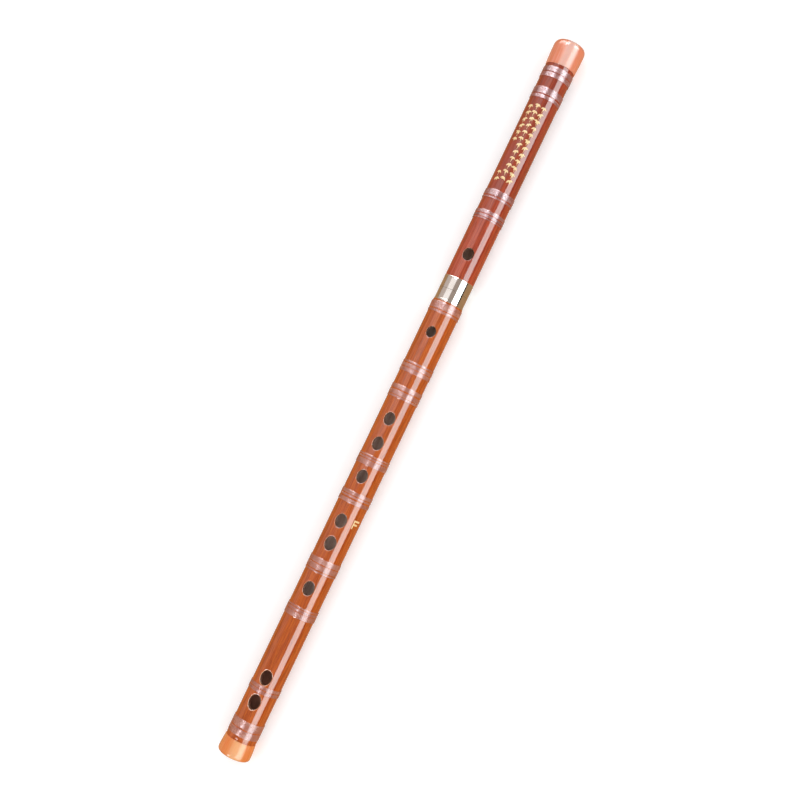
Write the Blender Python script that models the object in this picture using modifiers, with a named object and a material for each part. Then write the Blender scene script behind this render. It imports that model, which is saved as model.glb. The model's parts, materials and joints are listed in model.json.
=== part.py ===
"""A two-section transverse bamboo flute (dizi), lying on its two end rings.

The flute lies along X, head end at -X and foot end at +X, with its row of holes facing +Z and the
floor at Z = 0. Its origin is below the middle of its length. Everything turned is a profile with a
Screw modifier, made along a local Z that runs down the flute's own axis, and the holes are Boolean
cuts. A section is measured from its free end to the seam where the two sections part.

The head section turns on a metal tenon tube, and both slide out of the foot section's socket.
"""
import math

import bmesh
import bpy
from mathutils import Matrix

# Clearances. FIT_GAP parts two pieces that are glued or pressed together on the real flute.
FIT_GAP = 0.0003
SLIDE_GAP = 0.0003
SEAM_GAP = 0.0003

# The layers at the joint, from the bore outwards.
BORE_RADIUS = 0.0080
TENON_WALL = 0.0009
SOCKET_WALL = 0.0007
BAMBOO_LIP_WALL = 0.00065
FERRULE_WALL = 0.00065

# The bamboo of the two sections.
HEAD_WALL = 0.00365
FOOT_WALL = 0.0041

# The end rings: a sleeve over the bamboo's turned-down end, closed by a lip with the bore in it.
HEAD_RING_FLARE = 0.00085
FOOT_RING_FLARE = 0.0011
RING_SHOULDER = 0.00035
RING_WALL = 0.0012
RING_LIP = 0.0045
RING_EDGE_LENGTH = 0.0028
RING_EDGE_DEPTH = 0.0032

# Edges of the small turned pieces.
FERRULE_EDGE = 0.0004
SEAM_EDGE = 0.0002
PLUG_EDGE = 0.0006

# The stopper, and how far the tenon and the socket stay from the two holes beside them.
PLUG_LENGTH = 0.012
PLUG_TO_BLOW_HOLE = 0.0022
TENON_TO_BLOW_HOLE = 0.0024
SOCKET_TO_MEMBRANE_HOLE = 0.0030
TENON_END_GAP = 0.0010

# The bindings: each is one flat strand in an unbroken helix, a bundle of threads in each loop.
STRAND_WIDTH = 0.0017
STRAND_GAP = 0.0005
STRAND_HEIGHT = 0.0003
STRAND_EDGE = 0.00008

# The main lengths along the flute.
HEAD_RING_LENGTH = 0.0207
FOOT_RING_LENGTH = 0.0142
HEAD_FERRULE_LENGTH = 0.0101
FOOT_FERRULE_LENGTH = 0.0099
DECORATED_LENGTH = 0.0771

# The oval holes, along the flute and across it. Those for the lower hand are a little wider.
BLOW_HOLE_LENGTH = 0.0099
BLOW_HOLE_WIDTH = 0.0085
MEMBRANE_HOLE_LENGTH = 0.0088
MEMBRANE_HOLE_WIDTH = 0.0075
TOP_HOLE_LENGTH = 0.0104
UPPER_HOLE_LENGTH = 0.0107
UPPER_HOLE_WIDTH = 0.0086
THIRD_HOLE_LENGTH = 0.0111
LOWER_HOLE_LENGTH = 0.0113
LOWER_HOLE_WIDTH = 0.0090
REAR_VENT_LENGTH = 0.0104
REAR_VENT_WIDTH = 0.0086
FRONT_VENT_LENGTH = 0.0118
FRONT_VENT_WIDTH = 0.0089
END_VENT_LENGTH = 0.0122
END_VENT_WIDTH = 0.0092

# From the head end to the seam: what each stretch is, its length, and a hole's width.
HEAD_STRETCHES = (
    ("ring", HEAD_RING_LENGTH),
    ("bamboo", 0.0027),
    ("binding", 0.0085),
    ("bamboo", 0.0086),
    ("binding", 0.0087),
    ("bamboo", DECORATED_LENGTH),
    ("binding", 0.0071),
    ("bamboo", 0.0098),
    ("binding", 0.0072),
    ("bamboo", 0.0240),
    ("blow_hole", BLOW_HOLE_LENGTH, BLOW_HOLE_WIDTH),
    ("bamboo", 0.0146),
    ("ferrule", HEAD_FERRULE_LENGTH),
)

# From the seam to the foot end, in the same way.
FOOT_STRETCHES = (
    ("ferrule", FOOT_FERRULE_LENGTH),
    ("bamboo", 0.0014),
    ("binding", 0.0085),
    ("bamboo", 0.0111),
    ("membrane_hole", MEMBRANE_HOLE_LENGTH, MEMBRANE_HOLE_WIDTH),
    ("bamboo", 0.0218),
    ("binding", 0.0088),
    ("bamboo", 0.0109),
    ("binding", 0.0102),
    ("bamboo", 0.0114),
    ("finger_hole", TOP_HOLE_LENGTH, UPPER_HOLE_WIDTH),
    ("bamboo", 0.0100),
    ("finger_hole", UPPER_HOLE_LENGTH, UPPER_HOLE_WIDTH),
    ("bamboo", 0.0049),
    ("binding", 0.0084),
    ("bamboo", 0.0036),
    ("finger_hole", UPPER_HOLE_LENGTH, UPPER_HOLE_WIDTH),
    ("bamboo", 0.0075),
    ("binding", 0.0094),
    ("bamboo", 0.0092),
    ("finger_hole", THIRD_HOLE_LENGTH, LOWER_HOLE_WIDTH),
    ("bamboo", 0.0076),
    ("finger_hole", LOWER_HOLE_LENGTH, LOWER_HOLE_WIDTH),
    ("bamboo", 0.0075),
    ("binding", 0.0113),
    ("bamboo", 0.0077),
    ("finger_hole", LOWER_HOLE_LENGTH, LOWER_HOLE_WIDTH),
    ("bamboo", 0.0096),
    ("binding", 0.0088),
    ("bamboo", 0.0092),
    ("rear_vent", REAR_VENT_LENGTH, REAR_VENT_WIDTH),
    ("bamboo", 0.0076),
    ("rear_vent", REAR_VENT_LENGTH, REAR_VENT_WIDTH),
    ("bamboo", 0.0071),
    ("front_vent", FRONT_VENT_LENGTH, FRONT_VENT_WIDTH),
    ("bamboo", 0.0005),
    ("binding", 0.0062),
    ("bamboo", 0.0016),
    ("front_vent", END_VENT_LENGTH, END_VENT_WIDTH),
    ("bamboo", 0.0094),
    ("binding", 0.0151),
    ("bamboo", 0.0015),
    ("ring", FOOT_RING_LENGTH),
)

# Facets of round things.
TURNED_SIDES = 48
LOOP_POINTS = 24
HOLE_SIDES = 24
ARC_STEPS = 4
MERGE_DISTANCE = 0.00001
SHARP_ANGLE = math.radians(35.0)

# Radii that follow from the layers.
TENON_RADIUS = BORE_RADIUS + TENON_WALL
SOCKET_BORE = TENON_RADIUS + SLIDE_GAP
SOCKET_RADIUS = SOCKET_BORE + SOCKET_WALL
LIP_RADIUS = SOCKET_RADIUS + FIT_GAP + BAMBOO_LIP_WALL
FERRULE_BORE = LIP_RADIUS + FIT_GAP
FERRULE_RADIUS = FERRULE_BORE + FERRULE_WALL
HEAD_RADIUS = BORE_RADIUS + HEAD_WALL
FOOT_RADIUS = BORE_RADIUS + FOOT_WALL
REST_RADIUS = max(HEAD_RADIUS + HEAD_RING_FLARE, FOOT_RADIUS + FOOT_RING_FLARE)

# Lengths that follow from the stretches.
HEAD_LENGTH = sum(length for _, length, *_ in HEAD_STRETCHES)
FOOT_LENGTH = sum(length for _, length, *_ in FOOT_STRETCHES)
FLUTE_LENGTH = HEAD_LENGTH + FOOT_LENGTH
AXIS_HEIGHT = REST_RADIUS * math.cos(math.pi / TURNED_SIDES)
SEAM_X = HEAD_LENGTH - FLUTE_LENGTH / 2

# Finishes: colour, roughness and metallic.
FINISHES = {
    "red_bamboo": ((0.36, 0.085, 0.068, 1.0), 0.22, 0.0),
    "orange_bamboo": ((0.50, 0.130, 0.035, 1.0), 0.22, 0.0),
    "lacquered_thread": ((0.70, 0.42, 0.36, 1.0), 0.30, 0.0),
    "ring_horn": ((0.85, 0.36, 0.14, 1.0), 0.20, 0.0),
    "nickel_silver": ((0.74, 0.71, 0.66, 1.0), 0.18, 1.0),
    "joint_brass": ((0.66, 0.44, 0.16, 1.0), 0.32, 1.0),
    "cork": ((0.42, 0.25, 0.13, 1.0), 0.85, 0.0),
}


def clear_scene():
    """Remove every object that is in the scene."""
    for thing in list(bpy.data.objects):
        bpy.data.objects.remove(thing, do_unlink=True)


def make_collection(name):
    """Return a new collection linked to the scene."""
    collection = bpy.data.collections.new(name)
    bpy.context.scene.collection.children.link(collection)
    return collection


def make_finish(name):
    """Return a Principled material for one of the finishes."""
    colour, roughness, metallic = FINISHES[name]
    material = bpy.data.materials.new(name)
    material.use_nodes = True
    shader = material.node_tree.nodes["Principled BSDF"]
    shader.inputs["Base Color"].default_value = colour
    shader.inputs["Roughness"].default_value = roughness
    shader.inputs["Metallic"].default_value = metallic
    material.diffuse_color = colour
    return material


def find_stretches(stretches, kind):
    """Return (start, length) of each stretch of one kind, in order, with a hole's width last."""
    found = []
    start = 0.0
    for name, length, *width in stretches:
        if name == kind:
            found.append((start, length, *width))
        start += length
    return found


def new_object(name, mesh, collection, material=None):
    """Link a named object for a mesh."""
    thing = bpy.data.objects.new(name, mesh)
    collection.objects.link(thing)
    if material is not None:
        mesh.materials.append(material)
    return thing


def profile_mesh(name, points, closed):
    """Return a mesh of edges through (radius, height) points at +X."""
    shape = bmesh.new()
    corners = [shape.verts.new((radius, 0.0, height)) for radius, height in points]
    for first, second in zip(corners, corners[1:]):
        shape.edges.new((first, second))
    if closed:
        shape.edges.new((corners[-1], corners[0]))
    mesh = bpy.data.meshes.new(name)
    shape.to_mesh(mesh)
    shape.free()
    return mesh


def add_screw(thing, steps, turns=1, rise=0.0):
    """Turn a profile about its local Z, with a rise for each turn of a helix."""
    screw = thing.modifiers.new("turn", "SCREW")
    screw.axis = "Z"
    screw.angle = 2 * math.pi
    screw.steps = steps
    screw.render_steps = steps
    screw.iterations = turns
    screw.screw_offset = rise
    screw.use_merge_vertices = rise == 0.0
    screw.merge_threshold = MERGE_DISTANCE
    screw.use_smooth_shade = True


def place(thing, parent, distance, from_foot=False):
    """Set a piece on its section's axis, at a distance from the seam.

    A head piece has its free end towards local -Z. A foot piece is the same shape turned round.
    """
    thing.parent = parent
    thing.location = (0.0, 0.0, distance)
    if from_foot:
        thing.rotation_euler = (0.0, math.pi, 0.0)


def add_turned(name, points, closed, collection, material):
    """Return a turned piece for a profile of (radius, height) points."""
    thing = new_object(name, profile_mesh(name, points, closed), collection, material)
    add_screw(thing, TURNED_SIDES)
    return thing


def tube_points(section_length, radius, ring_length, ferrule_length, seat_radius, seat_depth):
    """Return a bamboo tube's profile, from its free end at 0 to the seam."""
    joint_end = section_length - SEAM_GAP / 2
    ferrule_shoulder = section_length - ferrule_length - FIT_GAP
    ring_shoulder = ring_length + FIT_GAP
    free_end = RING_LIP + FIT_GAP
    spigot_radius = radius + RING_SHOULDER - RING_WALL - FIT_GAP
    seat_end = section_length - seat_depth
    return [
        (LIP_RADIUS, joint_end),
        (LIP_RADIUS, ferrule_shoulder),
        (radius, ferrule_shoulder),
        (radius, ring_shoulder),
        (spigot_radius, ring_shoulder),
        (spigot_radius, free_end),
        (BORE_RADIUS, free_end),
        (BORE_RADIUS, seat_end),
        (seat_radius, seat_end),
        (seat_radius, joint_end),
    ]


def ring_points(radius, flare, length):
    """Return an end ring's profile: a flaring sleeve, a rounded edge and a flat end face at 0."""
    shoulder = radius + RING_SHOULDER
    widest = radius + flare
    sleeve_bore = shoulder - RING_WALL
    points = []
    for step in range(ARC_STEPS):
        part = step / ARC_STEPS
        grown = (widest - shoulder) * math.sin(part * math.pi / 2)
        points.append((shoulder + grown, length - part * (length - RING_EDGE_LENGTH)))
    for step in range(ARC_STEPS + 1):
        turn = step / ARC_STEPS * math.pi / 2
        inset = RING_EDGE_DEPTH * (1 - math.cos(turn))
        points.append((widest - inset, RING_EDGE_LENGTH * (1 - math.sin(turn))))
    points.append((BORE_RADIUS, 0.0))
    points.append((BORE_RADIUS, RING_LIP))
    points.append((sleeve_bore, RING_LIP))
    points.append((sleeve_bore, length))
    return points


def ferrule_points(length):
    """Return a ferrule's profile: its bamboo end at 0, its seam end at the top."""
    seam_end = length - SEAM_GAP / 2
    return [
        (FERRULE_RADIUS - SEAM_EDGE, seam_end),
        (FERRULE_RADIUS, seam_end - SEAM_EDGE),
        (FERRULE_RADIUS, FERRULE_EDGE),
        (FERRULE_RADIUS - FERRULE_EDGE, 0.0),
        (FERRULE_BORE, 0.0),
        (FERRULE_BORE, seam_end),
    ]


def sleeve_points(bore, radius, low, high):
    """Return a plain sleeve's profile between two heights."""
    return [(radius, high), (radius, low), (bore, low), (bore, high)]


def plug_points(radius, length):
    """Return the stopper's profile, open at the axis, with both edges broken."""
    return [
        (0.0, length),
        (radius - PLUG_EDGE, length),
        (radius, length - PLUG_EDGE),
        (radius, PLUG_EDGE),
        (radius - PLUG_EDGE, 0.0),
        (0.0, 0.0),
    ]


def least_gap(mesh, section_size):
    """Return the least distance between points of one loop and points of the next.

    The Screw modifier writes its points section by section, LOOP_POINTS sections to a loop.
    """
    points = [vertex.co.copy() for vertex in mesh.vertices]
    sections = len(points) // section_size
    least = math.inf
    for section in range(sections - LOOP_POINTS):
        for near in range(section_size):
            for far in range(section_size):
                here = points[section * section_size + near]
                there = points[(section + LOOP_POINTS) * section_size + far]
                least = min(least, (here - there).length)
    return least


def add_binding(name, tube_radius, width, collection, material):
    """Return one binding: a flat strand wound in an unbroken helix, starting at height 0."""
    loops = max(1, round((width - STRAND_WIDTH) / (STRAND_WIDTH + STRAND_GAP)))
    strand = (width - loops * STRAND_GAP) / (loops + 1)
    inner = (tube_radius + FIT_GAP) / math.cos(math.pi / LOOP_POINTS)
    outer = inner + STRAND_HEIGHT
    section = [
        (outer, strand - STRAND_EDGE),
        (outer, STRAND_EDGE),
        (inner, 0.0),
        (inner, strand),
    ]
    guide = new_object(name + "_guide", profile_mesh(name, section, True), collection, material)
    add_screw(guide, LOOP_POINTS, loops, strand + STRAND_GAP)
    bpy.context.view_layer.update()
    evaluated = guide.evaluated_get(bpy.context.evaluated_depsgraph_get())
    mesh = bpy.data.meshes.new_from_object(evaluated)
    print(f"{name}: {loops} loops, least gap {least_gap(mesh, len(section)) * 1000:.2f} mm")
    bpy.data.objects.remove(guide, do_unlink=True)
    shape = bmesh.new()
    shape.from_mesh(mesh)
    open_edges = [edge for edge in shape.edges if edge.is_boundary]
    bmesh.ops.holes_fill(shape, edges=open_edges, sides=len(section))
    bmesh.ops.recalc_face_normals(shape, faces=shape.faces)
    shape.to_mesh(mesh)
    shape.free()
    mesh.name = name
    mesh.shade_smooth()
    mesh.set_sharp_from_angle(angle=SHARP_ANGLE)
    thing = bpy.data.objects.new(name, mesh)
    collection.objects.link(thing)
    return thing


def add_hole(name, x, length, width, tube_radius, side, cutters):
    """Return a cutter for an oval hole through one wall: side 1 is the top, -1 the underside."""
    depth = 2 * tube_radius
    shape = bmesh.new()
    bmesh.ops.create_cone(
        shape, cap_ends=True, segments=HOLE_SIDES, radius1=length / 2, radius2=length / 2, depth=depth)
    bmesh.ops.scale(shape, verts=shape.verts, vec=(1.0, width / length, 1.0))
    mesh = bpy.data.meshes.new(name)
    shape.to_mesh(mesh)
    shape.free()
    cutter = new_object(name, mesh, cutters)
    cutter.location = (x, 0.0, AXIS_HEIGHT + side * depth / 2)
    cutter.hide_render = True
    cutter.display_type = "WIRE"
    return cutter


def cut(thing, cutter):
    """Cut one hole in a tube."""
    boolean = thing.modifiers.new(cutter.name, "BOOLEAN")
    boolean.operation = "DIFFERENCE"
    boolean.solver = "EXACT"
    boolean.object = cutter


def make_axes():
    """Return the axis empties of the foot section, the tenon and the head section."""
    along_x = Matrix.Rotation(math.pi / 2, 4, "Y")
    half_facet = Matrix.Rotation(math.pi / TURNED_SIDES, 4, "Z")
    axes = []
    for name in ("foot_section_axis", "tenon_axis", "head_section_axis"):
        empty = bpy.data.objects.new(name, None)
        bpy.context.scene.collection.objects.link(empty)
        empty.matrix_world = Matrix.Translation((SEAM_X, 0.0, AXIS_HEIGHT)) @ along_x @ half_facet
        empty.empty_display_size = REST_RADIUS
        axes.append(empty)
    return axes


def build_head(collection, cutters, finish, axis):
    """Make the head section: tube, end ring, stopper, ferrule and four bindings."""
    blow_start, blow_length, blow_width = find_stretches(HEAD_STRETCHES, "blow_hole")[0]
    tenon_seat_depth = HEAD_LENGTH - (blow_start + blow_length + TENON_TO_BLOW_HOLE) + FIT_GAP

    points = tube_points(HEAD_LENGTH, HEAD_RADIUS, HEAD_RING_LENGTH, HEAD_FERRULE_LENGTH,
                         TENON_RADIUS + FIT_GAP, tenon_seat_depth)
    tube = add_turned("head_tube", points, True, collection, finish["red_bamboo"])
    place(tube, axis, -HEAD_LENGTH)
    blow_x = blow_start + blow_length / 2 - FLUTE_LENGTH / 2
    cut(tube, add_hole("blow_hole_cutter", blow_x, blow_length, blow_width, HEAD_RADIUS, 1, cutters))

    points = ring_points(HEAD_RADIUS, HEAD_RING_FLARE, HEAD_RING_LENGTH)
    ring = add_turned("head_end_ring", points, True, collection, finish["ring_horn"])
    place(ring, axis, -HEAD_LENGTH)

    points = plug_points(BORE_RADIUS - FIT_GAP, PLUG_LENGTH)
    plug = add_turned("head_plug", points, False, collection, finish["cork"])
    place(plug, axis, blow_start - PLUG_TO_BLOW_HOLE - PLUG_LENGTH - HEAD_LENGTH)

    points = ferrule_points(HEAD_FERRULE_LENGTH)
    ferrule = add_turned("head_ferrule", points, True, collection, finish["nickel_silver"])
    place(ferrule, axis, -HEAD_FERRULE_LENGTH)

    bindings = find_stretches(HEAD_STRETCHES, "binding")
    for number, (start, width) in enumerate(bindings, start=1):
        binding = add_binding(
            f"head_binding_{number}", HEAD_RADIUS, width, collection, finish["lacquered_thread"])
        place(binding, axis, start - HEAD_LENGTH)


def build_tenon(collection, finish, axis):
    """Make the tenon tube, which reaches from the head section into the socket."""
    blow_start, blow_length, _ = find_stretches(HEAD_STRETCHES, "blow_hole")[0]
    membrane_start, _, _ = find_stretches(FOOT_STRETCHES, "membrane_hole")[0]
    low = blow_start + blow_length + TENON_TO_BLOW_HOLE - HEAD_LENGTH
    high = membrane_start - SOCKET_TO_MEMBRANE_HOLE - TENON_END_GAP
    points = sleeve_points(BORE_RADIUS, TENON_RADIUS, low, high)
    tenon = add_turned("tenon_tube", points, True, collection, finish["joint_brass"])
    place(tenon, axis, 0.0)


def build_foot(collection, cutters, finish, axis):
    """Make the foot section: tube, end ring, ferrule, socket tube and nine bindings."""
    membrane_start, _, _ = find_stretches(FOOT_STRETCHES, "membrane_hole")[0]
    socket_end = membrane_start - SOCKET_TO_MEMBRANE_HOLE

    points = tube_points(FOOT_LENGTH, FOOT_RADIUS, FOOT_RING_LENGTH, FOOT_FERRULE_LENGTH,
                         SOCKET_RADIUS + FIT_GAP, socket_end + FIT_GAP)
    tube = add_turned("foot_tube", points, True, collection, finish["orange_bamboo"])
    place(tube, axis, FOOT_LENGTH, from_foot=True)
    for kind, side in (("membrane_hole", 1), ("finger_hole", 1), ("front_vent", 1), ("rear_vent", -1)):
        for number, (start, length, width) in enumerate(find_stretches(FOOT_STRETCHES, kind), start=1):
            x = SEAM_X + start + length / 2
            name = f"{kind}_{number}_cutter"
            cut(tube, add_hole(name, x, length, width, FOOT_RADIUS, side, cutters))

    points = ring_points(FOOT_RADIUS, FOOT_RING_FLARE, FOOT_RING_LENGTH)
    ring = add_turned("foot_end_ring", points, True, collection, finish["ring_horn"])
    place(ring, axis, FOOT_LENGTH, from_foot=True)

    points = ferrule_points(FOOT_FERRULE_LENGTH)
    ferrule = add_turned("foot_ferrule", points, True, collection, finish["nickel_silver"])
    place(ferrule, axis, FOOT_FERRULE_LENGTH, from_foot=True)

    points = sleeve_points(SOCKET_BORE, SOCKET_RADIUS, SEAM_GAP / 2, socket_end)
    socket = add_turned("socket_tube", points, True, collection, finish["joint_brass"])
    place(socket, axis, 0.0)

    bindings = find_stretches(FOOT_STRETCHES, "binding")
    for number, (start, width) in enumerate(bindings, start=1):
        binding = add_binding(
            f"foot_binding_{number}", FOOT_RADIUS, width, collection, finish["lacquered_thread"])
        place(binding, axis, start)


def main():
    """Build the flute."""
    clear_scene()
    flute = make_collection("dizi")
    cutters = make_collection("cutters")
    finish = {name: make_finish(name) for name in FINISHES}
    foot_axis, tenon_axis, head_axis = make_axes()
    build_head(flute, cutters, finish, head_axis)
    build_tenon(flute, finish, tenon_axis)
    build_foot(flute, cutters, finish, foot_axis)
    print(f"dizi: {FLUTE_LENGTH * 1000:.1f} mm long, seam at X {SEAM_X * 1000:.1f} mm, "
          f"axis {AXIS_HEIGHT * 1000:.2f} mm above the floor")


main()
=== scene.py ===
# %% [markdown]
# Dressing a two-section bamboo flute
#
# A dizi is a flute that is held across the face. This one is two lengths of lacquered bamboo that
# meet at a metal joint, with silk thread wound round them so that they can't split, and a ring of
# pale resin on each end. A plain model of it, with every piece in its place, is already made. This
# notebook loads that model as a frame and gives each piece the surface and finish of the real one.

# %% Load the frame
import json
import math
import random

import bmesh
import bpy
from mathutils import Matrix, Vector


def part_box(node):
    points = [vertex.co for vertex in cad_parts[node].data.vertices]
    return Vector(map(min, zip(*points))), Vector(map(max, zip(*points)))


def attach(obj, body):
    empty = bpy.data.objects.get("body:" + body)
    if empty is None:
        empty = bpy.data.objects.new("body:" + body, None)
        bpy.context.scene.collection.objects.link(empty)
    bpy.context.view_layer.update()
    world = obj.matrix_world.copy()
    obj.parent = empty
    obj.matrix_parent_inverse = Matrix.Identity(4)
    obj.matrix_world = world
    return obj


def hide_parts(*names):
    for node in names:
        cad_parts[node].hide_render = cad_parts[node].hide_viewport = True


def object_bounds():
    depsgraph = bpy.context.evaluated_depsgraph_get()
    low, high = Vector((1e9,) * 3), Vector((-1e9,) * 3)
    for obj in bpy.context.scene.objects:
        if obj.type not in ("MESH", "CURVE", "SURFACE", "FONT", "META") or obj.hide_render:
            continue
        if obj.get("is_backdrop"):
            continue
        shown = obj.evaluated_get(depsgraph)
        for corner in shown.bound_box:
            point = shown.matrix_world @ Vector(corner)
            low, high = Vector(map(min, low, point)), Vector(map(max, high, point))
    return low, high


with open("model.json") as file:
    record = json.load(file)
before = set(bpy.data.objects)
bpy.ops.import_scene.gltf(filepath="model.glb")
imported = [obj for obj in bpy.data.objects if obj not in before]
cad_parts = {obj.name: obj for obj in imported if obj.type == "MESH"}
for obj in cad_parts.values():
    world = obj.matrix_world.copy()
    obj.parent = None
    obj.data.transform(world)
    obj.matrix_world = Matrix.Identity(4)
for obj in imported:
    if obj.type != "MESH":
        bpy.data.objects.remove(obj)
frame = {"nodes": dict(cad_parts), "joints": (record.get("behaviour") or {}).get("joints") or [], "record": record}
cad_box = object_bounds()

MM = 0.001

# %% [markdown]
# Reading the frame
#
# The flute lies along X with its holes facing up. Everything round on it shares one axis, and the
# head section turns about that same axis, so the joint's place gives the axis height and the seam.
# The frame's round pieces have 48 flats. A true circle that just fits inside those flats keeps every
# new surface within the old one, and keeps the clearances between the layers as they were.

# %% Measure the frame
CAD_FLATS = 48
INSIDE_FLATS = math.cos(math.pi / CAD_FLATS)
SAME_X = 0.1 * MM

head_turn = next(joint for joint in frame["joints"] if joint["name"] == "head_turn")
seam_x, _, axis_z = head_turn["pos_m"]
body_of = {name: body for body, names in frame["record"]["behaviour"]["bodies"].items() for name in names}


def span(node):
    """Return where a node of the frame starts and ends along the flute."""
    low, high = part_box(node)
    return low.x, high.x


def radii(node, near_x=None):
    """Return the least and the greatest radius of a round node, or of its corners at one x."""
    corners = [corner.co for corner in frame["nodes"][node].data.vertices]
    if near_x is not None:
        corners = [corner for corner in corners if abs(corner.x - near_x) < SAME_X]
    found = [math.hypot(corner.y, corner.z - axis_z) for corner in corners]
    return min(found) * INSIDE_FLATS, max(found) * INSIDE_FLATS


bore_radius, tenon_radius = radii("tenon_tube")
socket_bore, socket_radius = radii("socket_tube")
ferrule_bore, ferrule_radius = radii("head_ferrule")
head_radius = radii("head_tube")[1]
foot_radius = radii("foot_tube")[1]
head_end, head_ring_end = span("head_end_ring")
head_ferrule_start = span("head_ferrule")[0]
foot_ferrule_end = span("foot_ferrule")[1]
foot_ring_start = span("foot_end_ring")[0]
print(f"seam at {seam_x / MM:.1f} mm, axis {axis_z / MM:.2f} mm up, "
      f"bamboo {2 * head_radius / MM:.1f} and {2 * foot_radius / MM:.1f} mm across")

# %% [markdown]
# Finding the holes
#
# Between its shoulders a bamboo tube of the frame has no corners except those round its holes. So
# the corners there, sorted along the flute and parted where there is a wide gap, give each hole's
# place, length and width. A hole on the underside is found in the same way, from the corners below
# the axis.

# %% Read the holes
HOLE_PARTING = 4.0 * MM
SHOULDER_MARGIN = 0.5 * MM
SKIN_MARGIN = 0.05 * MM


def read_holes(tube, start, end, radius):
    """Return the holes between two shoulders, the upper ones first, each as a dictionary."""
    corners = [corner.co for corner in frame["nodes"][tube].data.vertices]
    holes = []
    for side in (1, -1):
        rims = sorted(
            (corner.x, corner.y) for corner in corners
            if start + SHOULDER_MARGIN < corner.x < end - SHOULDER_MARGIN
            and (corner.z - axis_z) * side > 0
            and math.hypot(corner.y, corner.z - axis_z) > radius - SKIN_MARGIN)
        groups = []
        for rim in rims:
            if not groups or rim[0] - groups[-1][-1][0] > HOLE_PARTING:
                groups.append([])
            groups[-1].append(rim)
        for group in groups:
            low, high = group[0][0], group[-1][0]
            across = [y for _, y in group]
            holes.append({"x": (low + high) / 2, "half_length": (high - low) / 2,
                          "half_width": (max(across) - min(across)) / 2, "side": side})
    return holes


head_holes = read_holes("head_tube", head_ring_end, head_ferrule_start, head_radius)
foot_holes = read_holes("foot_tube", foot_ferrule_end, foot_ring_start, foot_radius)
for hole in head_holes + foot_holes:
    print(f"hole at {hole['x'] / MM:.1f} mm, {2 * hole['half_length'] / MM:.1f} by "
          f"{2 * hole['half_width'] / MM:.1f} mm, {'top' if hole['side'] > 0 else 'underside'}")

# %% [markdown]
# Colours from a maker's bench
#
# Each finish below is a small tree of shader nodes on object coordinates, so it needs no pictures
# and stays in place when a piece moves. A few helpers keep the trees short: one makes a node and
# fills in its inputs, one gives coordinates stretched along the flute, and one gives the distance
# from the flute's axis, which tells a hole's wall from the lacquered skin.

# %% Helpers for node trees


def set_inputs(tree, node, values):
    """Give a node's inputs, by name or number, a value each or a link from a socket."""
    for name, value in values.items():
        if isinstance(value, bpy.types.NodeSocket):
            tree.links.new(value, node.inputs[name])
        else:
            node.inputs[name].default_value = value


def add_node(tree, kind, inputs=None, **settings):
    """Add a node, with settings on it and values or links for its inputs."""
    made = tree.nodes.new(kind)
    for name, value in settings.items():
        setattr(made, name, value)
    set_inputs(tree, made, inputs or {})
    return made


def calculate(tree, operation, first, second=0.0, use_clamp=False):
    """Return the result of an operation on two numbers, each a socket or a value."""
    return add_node(tree, "ShaderNodeMath", {0: first, 1: second}, operation=operation,
                    use_clamp=use_clamp).outputs[0]


def rise(tree, value, low, high, out_low=0.0, out_high=1.0):
    """Return a value that rises smoothly from one output to another between two inputs."""
    return add_node(tree, "ShaderNodeMapRange",
                    {"Value": value, "From Min": low, "From Max": high,
                     "To Min": out_low, "To Max": out_high},
                    interpolation_type="SMOOTHSTEP").outputs["Result"]


def mix(tree, factor, first, second, blend="MIX"):
    """Return a mix of two colours, each a socket or a value."""
    return add_node(tree, "ShaderNodeMix", {0: factor, 6: first, 7: second}, data_type="RGBA",
                    blend_type=blend).outputs[2]


# %% Helpers for finishes


def new_finish(name):
    """Return a material with its node tree and its Principled shader."""
    material = bpy.data.materials.new(name)
    material.use_nodes = True
    tree = material.node_tree
    return material, tree, tree.nodes["Principled BSDF"]


def flute_coordinates(tree):
    """Return object coordinates with the flute's axis at their centre line."""
    place = add_node(tree, "ShaderNodeTexCoord").outputs["Object"]
    return add_node(tree, "ShaderNodeMapping", {"Vector": place, "Location": (0, 0, -axis_z)}).outputs[0]


def stretched(tree, along, across):
    """Return coordinates scaled along the flute and across it, for grain that runs lengthwise."""
    return add_node(tree, "ShaderNodeVectorMath", {0: flute_coordinates(tree), 1: (along, across, across)},
                    operation="MULTIPLY").outputs[0]


def noise(tree, along, across, detail=3.0, roughness=0.55):
    """Return soft noise from 0 to 1, with so many features to a metre along the flute and across."""
    return add_node(tree, "ShaderNodeTexNoise",
                    {"Vector": stretched(tree, along, across), "Scale": 1.0, "Detail": detail,
                     "Roughness": roughness}).outputs["Fac"]


def off_axis(tree):
    """Return the distance from the flute's axis."""
    return add_node(tree, "ShaderNodeVectorMath", {0: stretched(tree, 0, 1)},
                    operation="LENGTH").outputs["Value"]


def bump(tree, height, distance):
    """Return a normal bent by a height of 0 to 1 that stands for a real distance."""
    return add_node(tree, "ShaderNodeBump",
                    {"Height": height, "Distance": distance, "Strength": 1.0}).outputs[0]


# %% [markdown]
# Lacquered bamboo
#
# Bamboo has no rings. It shows fine fibres that run lengthwise, a millimetre or so apart, in broader
# streaks of light and dark. Clear lacquer lies over it, as smooth as glass but not quite flat, so
# its bright reflections waver a little at their edges. That is one Principled shader: the coloured
# grain below, and its coat layer above with a bump of its own. Where a hole is cut, the pale fibre
# shows at the rim, the wall is brown, and the bore has tones of its own. The distance from the axis
# picks between them, with soft steps at heights over the bore and depths under the skin.

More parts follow.
